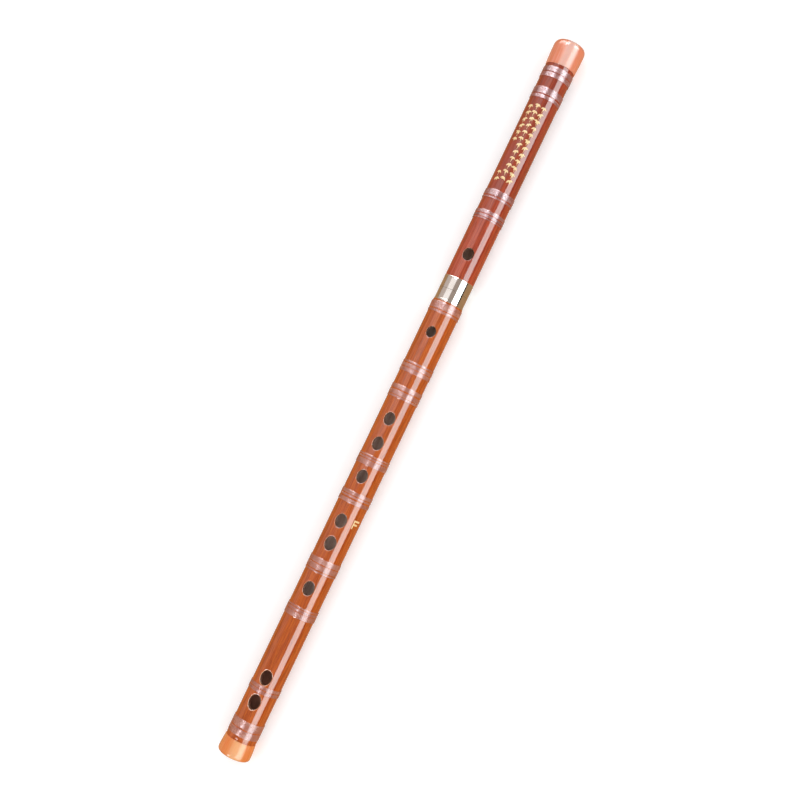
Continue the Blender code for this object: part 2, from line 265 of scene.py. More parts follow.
# %% The bamboo finish
STREAKS = (13.0, 360.0)
GRAIN = (45.0, 900.0)
FIBRES = (120.0, 3200.0)
RIPPLES = (55.0, 130.0)
HEAD_SHADE = (0.80, 0.80, 0.95, 1)
WALL_TONES = ((0.22, 0.10, 0.06, 1), (0.34, 0.17, 0.11, 1))
CUT_TONES = ((0.62, 0.26, 0.12, 1), (0.80, 0.42, 0.24, 1))
BORE_PAINTED_SHADE = (0.40, 0.18, 0.12, 1)
PAINTED_SHADE_FROM = (170.0 * MM, 215.0 * MM)
CUT_DEPTHS = (0.65 * MM, 0.40 * MM)
SKIN_DEPTHS = (0.16 * MM, 0.02 * MM)
WALL_STARTS = (0.1 * MM, 0.6 * MM)


def bamboo_finish(name, tones, bore_tones, radius, shade_ends):
    """Return lacquered bamboo: pale and deep grain, with ember tones in broad streaks.

    It is a shade deeper before the first of two places along the flute than beyond the second.
    The bore has tones of its own, and painted shade darkens it towards the foot end, where the vents are.
    """
    material, tree, shader = new_finish(name)
    pale, deep, ember = tones
    streak = noise(tree, *STREAKS, detail=2.0)
    grain = noise(tree, *GRAIN, roughness=0.6)
    fibre = noise(tree, *FIBRES, detail=2.0)
    evenly = rise(tree, grain, 0.3, 0.7)
    colour = mix(tree, rise(tree, streak, 0.36, 0.66), deep, pale)
    colour = mix(tree, rise(tree, grain, 0.42, 0.70, 0.0, 0.65), colour, ember)
    colour = mix(tree, 1.0, colour, rise(tree, fibre, 0.34, 0.50, 0.64, 1.0), "MULTIPLY")
    along = add_node(tree, "ShaderNodeSeparateXYZ", {0: flute_coordinates(tree)}).outputs["X"]
    shade = mix(tree, rise(tree, along, *shade_ends), HEAD_SHADE, (1, 1, 1, 1))
    colour = mix(tree, 1.0, colour, shade, "MULTIPLY")

    distance = off_axis(tree)
    bore = mix(tree, rise(tree, streak, 0.3, 0.7), *bore_tones)
    # Painted shade: the bore grows darker towards the foot end, so the vents look dark inside.
    bore = mix(tree, rise(tree, along, *PAINTED_SHADE_FROM), bore, BORE_PAINTED_SHADE)
    wall_starts = [bore_radius + height for height in WALL_STARTS]
    inside = mix(tree, rise(tree, distance, *wall_starts), bore, mix(tree, evenly, *WALL_TONES))
    cut_starts = [radius - depth for depth in CUT_DEPTHS]
    edge = mix(tree, rise(tree, distance, *cut_starts), inside, mix(tree, evenly, *CUT_TONES))
    skin_starts = [radius - depth for depth in SKIN_DEPTHS]
    colour = mix(tree, rise(tree, distance, *skin_starts), edge, colour)
    set_inputs(tree, shader, {
        "Base Color": colour,
        "Roughness": rise(tree, grain, 0.3, 0.7, 0.30, 0.42),
        "Normal": bump(tree, grain, 0.02 * MM),
        "Specular IOR Level": 0.0,
        "Coat Weight": 1.0,
        "Coat Roughness": 0.02,
        "Coat IOR": 1.75,
        "Coat Normal": bump(tree, noise(tree, *RIPPLES, detail=1.0), 0.018 * MM),
    })
    return material


red_bamboo = bamboo_finish(
    "red_bamboo_lacquered", ((0.48, 0.066, 0.025, 1), (0.355, 0.042, 0.016, 1), (0.54, 0.083, 0.022, 1)),
    ((0.46, 0.29, 0.21, 1), (0.60, 0.41, 0.32, 1)), head_radius, (-210.0 * MM, -130.0 * MM))
orange_bamboo = bamboo_finish(
    "orange_bamboo_lacquered", ((0.56, 0.108, 0.014, 1), (0.43, 0.070, 0.009, 1), (0.61, 0.130, 0.012, 1)),
    ((0.64, 0.46, 0.38, 1), (0.78, 0.62, 0.54, 1)), foot_radius, (-600.0 * MM, -500.0 * MM))
print("finishes:", red_bamboo.name, orange_bamboo.name)

# %% [markdown]
# Silk thread
#
# The bindings are fine silk, wound turn beside turn and lacquered. The real thread is pale and
# see-through, so each section's bamboo colour comes up through it, and each strand has a bright
# silky glint. A high index of refraction on the Principled shader gives that glint without a
# metal's colour. The lacquer that the strands lie in is clear, so it takes the bamboo's finish.

# %% The thread finish


def thread_finish(name, shaded, lit):
    """Return lacquered silk thread in two close tones, a little uneven round each binding."""
    material, tree, shader = new_finish(name)
    patches = noise(tree, 190.0, 90.0, detail=1.0)
    set_inputs(tree, shader, {
        "Base Color": mix(tree, rise(tree, patches, 0.35, 0.65), shaded, lit),
        "Roughness": rise(tree, patches, 0.3, 0.7, 0.20, 0.28),
        "IOR": 1.9,
        "Specular IOR Level": 1.0,
        "Specular Tint": (1.0, 0.93, 0.99, 1),
    })
    return material


red_thread = thread_finish("silk_thread_over_red", (0.33, 0.10, 0.080, 1), (0.40, 0.145, 0.12, 1))
orange_thread = thread_finish("silk_thread_over_orange", (0.47, 0.14, 0.075, 1), (0.53, 0.19, 0.11, 1))
print("finishes:", red_thread.name, orange_thread.name)

# %% [markdown]
# Resin, metal, cork and gold
#
# The end rings are a cloudy orange resin. A broad pale band that runs along the top is a painted
# highlight, where the lights' reflections fall. The band is found from the angle round the flute.
# Light goes a little way into the resin, which subsurface scattering gives. The two halves of the
# joint's band are nickel silver, polished on a lathe, so its faint lines run round it. The tenon and
# socket are drawn brass. The stopper is cork, and the marks on the bamboo are gold paint.

# %% Resin and metal


def resin_finish(name, deep, bright, pale):
    """Return an end ring's resin: lengthwise colour bands, a painted highlight on top, a clear polish and some
    depth.
    """
    material, tree, shader = new_finish(name)
    place = add_node(tree, "ShaderNodeSeparateXYZ", {0: flute_coordinates(tree)}).outputs
    angle = calculate(tree, "ARCTAN2", place["Y"], place["Z"])
    # Painted highlight: a pale band along the top, found from the angle round the flute, where the lights reflect.
    painted_highlight_band = calculate(tree, "MULTIPLY", rise(tree, angle, -0.22, 0.16),
                          rise(tree, angle, 0.60, 0.86, 1.0, 0.0))
    drift = noise(tree, 14.0, 120.0, detail=1.5)
    veins = noise(tree, 30.0, 700.0, roughness=0.65)
    colour = mix(tree, painted_highlight_band, mix(tree, rise(tree, drift, 0.36, 0.64), deep, bright), pale)
    set_inputs(tree, shader, {
        "Base Color": mix(tree, rise(tree, veins, 0.50, 0.78, 0.0, 0.4), colour, pale),
        "Roughness": rise(tree, veins, 0.3, 0.7, 0.24, 0.34),
        "Subsurface Weight": 0.25,
        "Subsurface Radius": (1.0, 0.35, 0.15),
        "Subsurface Scale": 1.2 * MM,
        "Specular IOR Level": 0.2,
        "Coat Weight": 1.0,
        "Coat Roughness": 0.13,
        "Coat IOR": 1.45,
    })
    return material


def metal_finish(name, bright, dull, lines_along, shine, haze):
    """Return a turned and polished metal, with so many lathe lines to a metre, all running round."""
    material, tree, shader = new_finish(name)
    smudge = noise(tree, 130.0, 130.0)
    set_inputs(tree, shader, {
        "Base Color": mix(tree, rise(tree, smudge, 0.35, 0.7), bright, dull),
        "Roughness": rise(tree, smudge, 0.3, 0.75, shine, haze),
        "Normal": bump(tree, noise(tree, lines_along, 12.0, detail=2.0), 0.0012 * MM),
        "Metallic": 1.0,
    })
    return material


# The last colour of each resin is the pale tone of its painted highlight band and of its veins.
peach_resin = resin_finish("head_ring_resin", (0.76, 0.215, 0.10, 1), (0.82, 0.27, 0.15, 1),
                           (0.84, 0.47, 0.38, 1))
amber_resin = resin_finish("foot_ring_resin", (0.80, 0.215, 0.045, 1), (0.84, 0.29, 0.085, 1),
                           (0.90, 0.43, 0.19, 1))
nickel_silver = metal_finish("nickel_silver_polished", (0.76, 0.73, 0.70, 1), (0.70, 0.66, 0.62, 1),
                             9000.0, 0.11, 0.17)
drawn_brass = metal_finish("joint_brass_drawn", (0.80, 0.56, 0.22, 1), (0.58, 0.37, 0.12, 1),
                           5000.0, 0.16, 0.30)
print("finishes:", peach_resin.name, amber_resin.name, nickel_silver.name, drawn_brass.name)

# %% Cork and gold


def cork_finish():
    """Return cork: pale brown with dark pores and a dry surface."""
    material, tree, shader = new_finish("stopper_cork")
    crumb = noise(tree, 420.0, 420.0, detail=4.0, roughness=0.7)
    pores = add_node(tree, "ShaderNodeTexVoronoi",
                     {"Vector": stretched(tree, 900.0, 700.0), "Scale": 1.0}).outputs["Distance"]
    colour = mix(tree, rise(tree, crumb, 0.3, 0.7), (0.30, 0.16, 0.08, 1), (0.50, 0.31, 0.17, 1))
    set_inputs(tree, shader, {
        "Base Color": mix(tree, rise(tree, pores, 0.10, 0.22), (0.10, 0.05, 0.03, 1), colour),
        "Roughness": rise(tree, crumb, 0.3, 0.7, 0.75, 0.92),
        "Normal": bump(tree, rise(tree, pores, 0.08, 0.25), 0.15 * MM),
    })
    return material


def gold_finish():
    """Return brushed-on gold paint: thin places are browner, and it has little shine."""
    material, tree, shader = new_finish("gold_paint")
    brush = noise(tree, 700.0, 1400.0)
    set_inputs(tree, shader, {
        "Base Color": mix(tree, rise(tree, brush, 0.30, 0.55), (0.70, 0.40, 0.14, 1),
                          (0.93, 0.68, 0.32, 1)),
        "Roughness": rise(tree, brush, 0.3, 0.7, 0.34, 0.50),
    })
    return material


stopper_cork = cork_finish()
gold_paint = gold_finish()
print("finishes:", len(bpy.data.materials), "materials in all")

# %% [markdown]
# One way to make every turned piece
#
# A lathe cuts an outline into a bar that spins. In Blender that is a closed outline, as pairs of a
# place along the flute and a radius, spun about the flute's axis. The corners at the start and the
# end of the turn are merged, so that each piece is one closed skin, and its normals are worked out
# again because a spun shape may be inside out. Edges that a maker would break with a file are arcs
# in the outline and not bevels, which keeps the number of faces low.

# %% A lathe and its edges
TURN_STEPS = 120
SHARP_ANGLE = math.radians(38.0)
EDGE_STEPS = 4
WELD = 0.0005 * MM


def arc(centre, size, start, end, steps=EDGE_STEPS):
    """Return points on a stretch of an ellipse, from one angle to another, in degrees."""
    points = []
    for step in range(steps + 1):
        angle = math.radians(start + (end - start) * step / steps)
        points.append((centre[0] + size[0] * math.cos(angle), centre[1] + size[1] * math.sin(angle)))
    return points


def broken_edge(x, radius, size, inward, start, end):
    """Return the rounded edge of a step at an x, with the piece on its inward side, 1 or -1."""
    return [(x + inward * depth, height)
            for depth, height in arc((size, radius - size), (-size, size), start, end)]


def add_object(name, data):
    """Return a new object in the scene."""
    made = bpy.data.objects.new(name, data)
    bpy.context.scene.collection.objects.link(made)
    return made


def finish_mesh(shape, name, materials):
    """Return an object for a bmesh, smooth but with crisp edges where its faces turn sharply."""
    bmesh.ops.recalc_face_normals(shape, faces=shape.faces)
    mesh = bpy.data.meshes.new(name)
    shape.to_mesh(mesh)
    shape.free()
    mesh.shade_smooth()
    mesh.set_sharp_from_angle(angle=SHARP_ANGLE)
    for material in materials:
        mesh.materials.append(material)
    return add_object(name, mesh)


def turn_shape(outline, steps=TURN_STEPS):
    """Return a bmesh for a closed outline of (x, radius) points, turned about the flute's axis."""
    shape = bmesh.new()
    corners = [shape.verts.new((x, 0.0, axis_z + radius)) for x, radius in outline]
    edges = [shape.edges.new((first, second)) for first, second in zip(corners, corners[1:])]
    edges.append(shape.edges.new((corners[-1], corners[0])))
    bmesh.ops.spin(shape, geom=corners + edges, cent=(0.0, 0.0, axis_z), axis=(1.0, 0.0, 0.0),
                   angle=2 * math.pi, steps=steps, use_merge=True)
    bmesh.ops.remove_doubles(shape, verts=shape.verts, dist=WELD)
    return shape


def dress(piece, *nodes):
    """Let a piece stand for nodes of the frame: it takes their body."""
    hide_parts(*nodes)
    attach(piece, body_of[nodes[0]])
    print(f"{piece.name}: {len(piece.data.polygons)} faces")


# %% [markdown]
# The end rings
#
# Each ring is a sleeve over the bamboo's turned-down end, a little proud of it, which flares towards
# the end of the flute and then rounds over to a flat end face with the bore in it. Seen from the
# side, the rounding is wide and soft, so it is a quarter of an ellipse. The outline is drawn inwards
# from the end face, and a direction lets it serve both ends: the head ring points towards -X and the
# foot ring towards +X. The head ring is the rounder of the two.

# %% The end rings
HEAD_RING_EDGE = (4.6 * MM, 3.7 * MM)
FOOT_RING_EDGE = (2.8 * MM, 3.2 * MM)
RING_LIP = 4.5 * MM
SLEEVE_EDGE = 0.18 * MM
BORE_EDGE = 0.35 * MM
FLARE_STEPS = 10
ROUND_STEPS = 12


def make_ring(node, direction, edge, finish):
    """Make one end ring that points along -X or +X, for the length and depth of its rounding."""
    low, high = span(node)
    end, sleeve = (low, high) if direction < 0 else (high, low)
    length = high - low
    sleeve_bore, shoulder = radii(node, sleeve)
    widest = radii(node)[1]
    edge_length, edge_depth = edge
    flare_start = length - SLEEVE_EDGE
    profile = arc((flare_start, shoulder - SLEEVE_EDGE), (SLEEVE_EDGE, SLEEVE_EDGE), 0, 90)
    for step in range(1, FLARE_STEPS + 1):
        part = step / FLARE_STEPS
        profile.append((flare_start - part * (flare_start - edge_length),
                        shoulder + (widest - shoulder) * math.sin(part * math.pi / 2)))
    profile += arc((edge_length, widest - edge_depth), (-edge_length, edge_depth), 90, 0, ROUND_STEPS)[1:]
    profile += arc((BORE_EDGE, bore_radius + BORE_EDGE), (-BORE_EDGE, -BORE_EDGE), 0, 90)
    profile += [(RING_LIP, bore_radius), (RING_LIP, sleeve_bore), (length, sleeve_bore)]
    outline = [(end - direction * depth, radius) for depth, radius in profile]
    dress(finish_mesh(turn_shape(outline), node + "_resin", [finish]), node)


make_ring("head_end_ring", -1, HEAD_RING_EDGE, peach_resin)
make_ring("foot_end_ring", 1, FOOT_RING_EDGE, amber_resin)

# %% [markdown]
# The metal at the joint
#
# The band over the joint is two ferrules that meet at the seam. Their outer edges are rolled over
# the bamboo, and their meeting edges have only the smallest bevel, so that the seam is a hairline
# when the flute is put together. Inside, the tenon is a thin tube fixed in the head section, and the
# socket lines the foot section. They come into view when the sections are pulled apart, so their
# mouths are rounded as a tube maker leaves them.

# %% The ferrules, the tenon and the socket
HAIRLINE = 0.04 * MM
FERRULE_EDGE = 0.35 * MM
SEAM_BEVEL = 0.10 * MM
BEAD_LENGTH = 0.9 * MM
BEAD_HEIGHT = 0.10 * MM
BEAD_SLOPE = 0.6 * BEAD_LENGTH


def make_ferrule(node, direction):
    """Make one ferrule. The direction is 1 where its seam end faces +X, and -1 otherwise."""
    low, high = span(node)
    back, seam = (low, seam_x - HAIRLINE) if direction > 0 else (high, seam_x + HAIRLINE)
    plain = ferrule_radius - BEAD_HEIGHT
    outline = [
        (seam, ferrule_bore),
        (seam, plain - SEAM_BEVEL),
        (seam - direction * SEAM_BEVEL, plain),
        (back + direction * 2 * BEAD_LENGTH, plain),
    ]
    bead = arc((BEAD_LENGTH, plain), (BEAD_SLOPE, BEAD_HEIGHT), 0, 90)
    outline += [(back + direction * depth, radius) for depth, radius in bead]
    outline += broken_edge(back, ferrule_radius, FERRULE_EDGE, direction, 90, 0)
    outline.append((back, ferrule_bore))
    dress(finish_mesh(turn_shape(outline), node + "_band", [nickel_silver]), node)


def make_sleeve(node, bore, radius, material):
    """Make a thin tube with rounded ends, for the tenon or the socket."""
    low, high = span(node)
    half_wall = (radius - bore) / 2
    middle = (radius + bore) / 2
    outline = arc((high - half_wall, middle), (half_wall, half_wall), -90, 90, 2 * EDGE_STEPS)
    outline += arc((low + half_wall, middle), (half_wall, half_wall), 90, 270, 2 * EDGE_STEPS)
    dress(finish_mesh(turn_shape(outline), node + "_drawn", [material]), node)


make_ferrule("head_ferrule", 1)
make_ferrule("foot_ferrule", -1)
make_sleeve("tenon_tube", bore_radius, tenon_radius, drawn_brass)
make_sleeve("socket_tube", socket_bore, socket_radius, drawn_brass)

# %% [markdown]
# The stopper
#
# A cork stopper closes the bore just beyond the blow hole. It is a short cylinder with broken edges
# and a slight hollow in each face, where a thumb has pushed it down the bore.

# %% The stopper
PLUG_EDGE = 0.6 * MM
PLUG_HOLLOW = 0.4 * MM
HOLLOW_FLOOR = 0.4
HOLLOW_RIM = 0.75


def make_plug(node):
    """Make the cork stopper, closed at the axis on both faces."""
    low, high = span(node)
    radius = radii(node)[1]
    floor, rim = HOLLOW_FLOOR * radius, HOLLOW_RIM * radius
    outline = [(low + PLUG_HOLLOW, 0.0), (low + PLUG_HOLLOW, floor), (low, rim)]
    outline += broken_edge(low, radius, PLUG_EDGE, 1, 0, 90)
    outline += broken_edge(high, radius, PLUG_EDGE, -1, 90, 0)
    outline += [(high, rim), (high - PLUG_HOLLOW, floor), (high - PLUG_HOLLOW, 0.0)]
    dress(finish_mesh(turn_shape(outline), node + "_cork", [stopper_cork]), node)


make_plug("head_plug")

# %% [markdown]
# The bamboo, with its holes
#
# A hole could be cut with a Boolean, but that leaves long thin faces and a hard rim. Here the skin
# is a grid round the tube, and each hole has a cell of that grid: a quarter of the way round, with
# as many steps along as across. The cell's square border has as many corners as the oval, so rings
# of faces lead evenly from one to the other. They then turn over a rounded rim and go straight down
# the wall, to the same pattern on the bore. The wall is upright, as a drill leaves it, so a point on
# it keeps its distance from the middle plane while its height follows the curve of the tube.

# %% Points on the tube
AROUND = 72
CELL_STEPS = AROUND // 4
CELL_MARGIN = 1.9 * MM
CELL_CORNER = math.radians(225.0)
BLEND_STEPS = 5
RIM_STEPS = 5
WALL_STEPS = 3


def on_tube(x, across, height, middle_angle):
    """Return a point from its offset across and its height, about a hole's own upright plane."""
    sine, cosine = math.sin(middle_angle), math.cos(middle_angle)
    return Vector((x, height * sine + across * cosine, axis_z + height * cosine - across * sine))


def skin_stations(outline, holes):
    """Return (x, radius) for each ring of a skin, with close rings where a hole's cell lies.

    The second result gives the ring at which each hole's cell starts, in the order of the holes.
    """
    stations = []
    cell_starts = {}
    for (x, radius), (next_x, next_radius) in zip(outline, outline[1:]):
        stations.append((x, radius))
        for number, hole in sorted(enumerate(holes), key=lambda pair: pair[1]["x"]):
            reach = hole["half_length"] + CELL_MARGIN
            low, high = hole["x"] - reach, hole["x"] + reach
            if radius == next_radius and x < low and high < next_x:
                cell_starts[number] = len(stations)
                for step in range(CELL_STEPS + 1):
                    stations.append((low + (high - low) * step / CELL_STEPS, radius))
    stations.append(outline[-1])
    return stations, [cell_starts[number] for number in range(len(holes))]


# %% The skin's grid


def middle_step(hole):
    """Return the step round the tube that a hole's cell is centred on."""
    return 0 if hole["side"] > 0 else AROUND // 2


def cell_border(start, middle):
    """Return the (ring, step) pairs round a cell, from one corner and back to it."""
    low, high = middle - CELL_STEPS // 2, middle + CELL_STEPS // 2
    steps = range(CELL_STEPS)
    return ([(start, low + step) for step in steps]
            + [(start + step, high) for step in steps]
            + [(start + CELL_STEPS, high - step) for step in steps]
            + [(start + CELL_STEPS - step, low) for step in steps])


def lay_skin(shape, outline, holes):
    """Add a skin's rings and faces, and leave its cells open.

    Return its corners by ring and step, the border of each cell, and the number of the last ring.
    """
    stations, starts = skin_stations(outline, holes)
    corners = {}

    def corner(ring, step):
        """Return a corner of the skin, made when it is first asked for."""
        key = (ring, step % AROUND)
        if key not in corners:
            x, radius = stations[ring]
            angle = 2 * math.pi * key[1] / AROUND
            corners[key] = shape.verts.new(on_tube(x, 0.0, radius, angle))
        return corners[key]

    open_cells = set()
    for hole, start in zip(holes, starts):
        for ring in range(start, start + CELL_STEPS):
            for step in range(-(CELL_STEPS // 2), CELL_STEPS // 2):
                open_cells.add((ring, (middle_step(hole) + step) % AROUND))
    for ring in range(len(stations) - 1):
        for step in range(AROUND):
            if (ring, step) not in open_cells:
                shape.faces.new((corner(ring, step), corner(ring, step + 1),
                                 corner(ring + 1, step + 1), corner(ring + 1, step)))
    borders = [[corner(ring, step) for ring, step in cell_border(start, middle_step(hole))]
               for hole, start in zip(holes, starts)]
    return corners, borders, len(stations) - 1


# %% Rings round a hole


def oval_ring(shape, hole, grown, heights):
    """Add one ring of corners round a hole, its oval grown by a margin, at a height for each."""
    middle_angle = 2 * math.pi * middle_step(hole) / AROUND
    ring = []
    for number in range(AROUND):
        angle = CELL_CORNER - 2 * math.pi * number / AROUND
        x = hole["x"] + (hole["half_length"] + grown) * math.cos(angle)
        across = (hole["half_width"] + grown) * math.sin(angle)
        ring.append(shape.verts.new(on_tube(x, across, heights(across), middle_angle)))
    return ring


def blend_rings(shape, border, oval, radius, middle_angle):
    """Add the rings between a cell's border and an oval, all of them on the tube's surface."""
    rings = [border]
    places = []
    for corner in (*border, *oval):
        turned = math.atan2(corner.co.y, corner.co.z - axis_z) - middle_angle
        places.append((corner.co.x, math.remainder(turned, 2 * math.pi)))
    for step in range(1, BLEND_STEPS):
        part = step / BLEND_STEPS
        ring = []
        for (x, turned), (oval_x, oval_turned) in zip(places[:AROUND], places[AROUND:]):
            angle = middle_angle + turned + (oval_turned - turned) * part
            ring.append(shape.verts.new(on_tube(x + (oval_x - x) * part, 0.0, radius, angle)))
        rings.append(ring)
    return rings + [oval]


def join_rings(shape, rings):
    """Add a band of faces between each ring of corners and the next."""
    for first, second in zip(rings, rings[1:]):
        for number in range(AROUND):
            after = (number + 1) % AROUND
            shape.faces.new((first[number], first[after], second[after], second[number]))


def cut_hole(shape, hole, radius, outer_border, inner_border):
    """Add everything inside a hole's cell: the skin round it, its rim, its wall and the bore side."""
    rim = hole["rim"]
    middle_angle = 2 * math.pi * middle_step(hole) / AROUND

    def height_at(across, surface):
        """Return how high a round surface lies above the axis."""
        return math.sqrt(surface ** 2 - across ** 2)

    ovals = []
    for step in range(RIM_STEPS + 1):
        turn = step / RIM_STEPS * math.pi / 2
        sunk = rim * (1 - math.cos(turn))
        ovals.append(oval_ring(shape, hole, rim * (1 - math.sin(turn)),
                               lambda across: height_at(across, radius) - sunk))
    for step in range(1, WALL_STEPS + 1):
        part = step / WALL_STEPS
        ovals.append(oval_ring(shape, hole, 0.0, lambda across: (
            (height_at(across, radius) - rim) * (1 - part) + height_at(across, bore_radius) * part)))
    rings = blend_rings(shape, outer_border, ovals[0], radius, middle_angle)[:-1]
    rings += ovals
    rings += blend_rings(shape, inner_border, ovals[-1], bore_radius, middle_angle)[-2::-1]
    join_rings(shape, rings)


# %% [markdown]
# A skin that shades as a true cylinder
#
# The rings round a hole are uneven, so normals that are averaged from the faces would lean a little,
# and a narrow bright reflection would show it as a dent. Every corner that lies on the skin has a
# known normal, straight out from the axis. Giving those to the mesh and leaving the others to
# Blender makes the reflections run true past the holes.

# %% Normals and tubes
SKIN_TILT = math.cos(math.radians(40.0))
ON_SKIN = 0.002 * MM


def set_true_normals(mesh, radius):
    """Point the normals of all corners on the skin straight out from the axis."""
    normals = [(0.0, 0.0, 0.0)] * len(mesh.loops)
    for face in mesh.polygons:
        for index in face.loop_indices:
            place = mesh.vertices[mesh.loops[index].vertex_index].co
            outward = Vector((0.0, place.y, place.z - axis_z))
            if abs(outward.length - radius) < ON_SKIN and face.normal.dot(outward) > SKIN_TILT * radius:
                normals[index] = outward.normalized()
    mesh.normals_split_custom_set(normals)


def make_tube(node, outer, inner, radius, holes, material):
    """Make a bamboo tube for its outer and inner outlines, both from the head end to the foot."""
    shape = bmesh.new()
    outer_corners, outer_borders, outer_last = lay_skin(shape, outer, holes)
    inner_corners, inner_borders, inner_last = lay_skin(shape, inner, holes)
    for outer_ring, inner_ring in ((0, 0), (outer_last, inner_last)):
        join_rings(shape, [[outer_corners[(outer_ring, step)] for step in range(AROUND)],
                           [inner_corners[(inner_ring, step)] for step in range(AROUND)]])
    for hole, outer_border, inner_border in zip(holes, outer_borders, inner_borders):
        cut_hole(shape, hole, radius, outer_border, inner_border)
    piece = finish_mesh(shape, node + "_bamboo", [material])
    set_true_normals(piece.data, radius)
    dress(piece, node)


# %% [markdown]
# The two bamboo sections
#
# At its free end each tube is turned down to carry its ring, and at the joint it is turned down
# again under the ferrule. The shoulders in between have their edges broken. Inside, the bore is
# opened out at the joint, for the tenon on the head side and for the socket on the foot side. Blow
# hole and membrane hole have crisp rims, finger holes are eased for the fingertips, and the vents
# near the foot are rounded most.

# %% Make the bamboo
SHOULDER_EDGE = 0.28 * MM
CRISP_RIM = 0.30 * MM
FINGER_RIM = 0.45 * MM
VENT_RIM = 0.80 * MM
LIP_RADIUS = ferrule_bore - HAIRLINE


def bamboo_outline(free_end, ring_shoulder, spigot, radius, ferrule_shoulder, joint_end):
    """Return the outer outline, from the head end to the foot, with broken edges."""
    toward = 1 if joint_end > free_end else -1
    outline = [(free_end, spigot), (ring_shoulder, spigot)]
    outline += broken_edge(ring_shoulder, radius, SHOULDER_EDGE, toward, 0, 90)
    outline += broken_edge(ferrule_shoulder, radius, SHOULDER_EDGE, -toward, 90, 0)
    outline += [(ferrule_shoulder, LIP_RADIUS), (joint_end, LIP_RADIUS)]
    return outline[::toward]


def bore_outline(free_end, seat_end, seat_radius, joint_end):
    """Return the bore's outline, from the head end to the foot, opened out at the joint."""
    outline = [(free_end, bore_radius), (seat_end, bore_radius), (seat_end, seat_radius),
               (joint_end, seat_radius)]
    return outline if joint_end > free_end else outline[::-1]


head_start, head_joint = span("head_tube")
foot_joint, foot_end = span("foot_tube")
rims = [CRISP_RIM] * 2 + [FINGER_RIM] * 6 + [VENT_RIM] * 4
for hole, rim in zip(head_holes + foot_holes, rims):
    hole["rim"] = rim

head_spigot = radii("head_end_ring", head_ring_end)[0] - HAIRLINE
foot_spigot = radii("foot_end_ring", foot_ring_start)[0] - HAIRLINE
tenon_start = span("tenon_tube")[0]
socket_end = span("socket_tube")[1]
make_tube("head_tube",
          bamboo_outline(head_start, head_ring_end + HAIRLINE, head_spigot, head_radius,
                         head_ferrule_start - HAIRLINE, head_joint),
          bore_outline(head_start, tenon_start - HAIRLINE, tenon_radius + HAIRLINE, head_joint),
          head_radius, head_holes, red_bamboo)
make_tube("foot_tube",
          bamboo_outline(foot_end, foot_ring_start - HAIRLINE, foot_spigot, foot_radius,
                         foot_ferrule_end + HAIRLINE, foot_joint),
          bore_outline(foot_end, socket_end + HAIRLINE, socket_radius + HAIRLINE, foot_joint),
          foot_radius, foot_holes, orange_bamboo)

# %% [markdown]
# The path of a binding's thread
#
# The silk is one unbroken thread. It is wound in groups with a narrow gap between them, and goes
# from one group to the next in a quarter turn on the underside, where a maker hides it. Each number
# below is a real width in millimetres along the flute: a group, a gap, a group, and so on from the
# head side. The path is worked out in polar form about an upright axis, and the finished thread is
# laid over on its side afterwards.

# %% Thread paths
THREAD_WIDTH = 0.33 * MM
THREAD_HEIGHT = 0.26 * MM
THREAD_PITCH = 0.36 * MM
THREAD_SIDES = 8
TURN_POINTS = 60
CROSSING = 0.25

BINDING_GROUPS = {
    "head_binding_1": (4.25, 0.43, 3.82),
    "head_binding_2": (5.14, 0.79, 2.77),
    "head_binding_3": (4.73, 0.79, 1.58),
    "head_binding_4": (2.68, 0.54, 2.30, 0.54, 1.14),
    "foot_binding_1": (5.80, 0.77, 1.93),
    "foot_binding_2": (1.45, 0.73, 2.91, 0.44, 3.27),
    "foot_binding_3": (3.40, 0.98, 3.78, 0.30, 1.74),
    "foot_binding_4": (1.30, 0.53, 1.68, 0.46, 4.43),
    "foot_binding_5": (2.89, 0.58, 1.59, 1.08, 3.26),
    "foot_binding_6": (4.28, 0.56, 4.44, 0.65, 1.37),
    "foot_binding_7": (1.43, 0.38, 2.48, 0.23, 4.28),
    "foot_binding_8": (2.89, 0.42, 2.89),
    "foot_binding_9": (6.66, 0.62, 5.60),
}


def thread_path(groups, start, radius):
    """Return the points of one unbroken thread, about local Z, that fills groups from a start."""
    points = []
    height = start
    turned = CROSSING / 2
    for number, width in enumerate(groups):
        width *= MM
        if number % 2 == 0:
            first, rise_by = height + THREAD_WIDTH / 2, width - THREAD_WIDTH
            turns = max(1, round(rise_by / THREAD_PITCH)) - CROSSING
        else:
            first, rise_by = height - THREAD_WIDTH / 2, width + THREAD_WIDTH
            turns = CROSSING
        steps = round(turns * TURN_POINTS)
        for step in range(steps):
            angle = 2 * math.pi * (turned + turns * step / steps)
            points.append((radius * math.cos(angle), radius * math.sin(angle),
                           first + rise_by * step / steps))
        turned += turns
        height += width
    return points


print("bindings to wind:", len(BINDING_GROUPS))

# %% [markdown]
# Winding it with Geometry Nodes
#
# A thread follows a path, which is what Geometry Nodes do best. The tree turns the path into a
# curve, points the curve's normals straight out from the axis, and sweeps a flattened circle along
# it, so the thread lies flat on its bed as it does under tension. Its sizes are named inputs, each
# set by its socket's identifier. The tree ends in Realize Instances and Set Material.

# %% Helpers for Geometry Nodes


def new_tree(name, shape_in, shape_out, values):
    """Return a tree with a shape in, a shape out and named input values, and its input sockets."""
    tree = bpy.data.node_groups.new(name, "GeometryNodeTree")
    tree.interface.new_socket(shape_in, in_out="INPUT", socket_type="NodeSocketGeometry")
    for value, kind in values.items():
        tree.interface.new_socket(value, in_out="INPUT", socket_type=kind)
    tree.interface.new_socket(shape_out, in_out="OUTPUT", socket_type="NodeSocketGeometry")
    return tree, add_node(tree, "NodeGroupInput").outputs


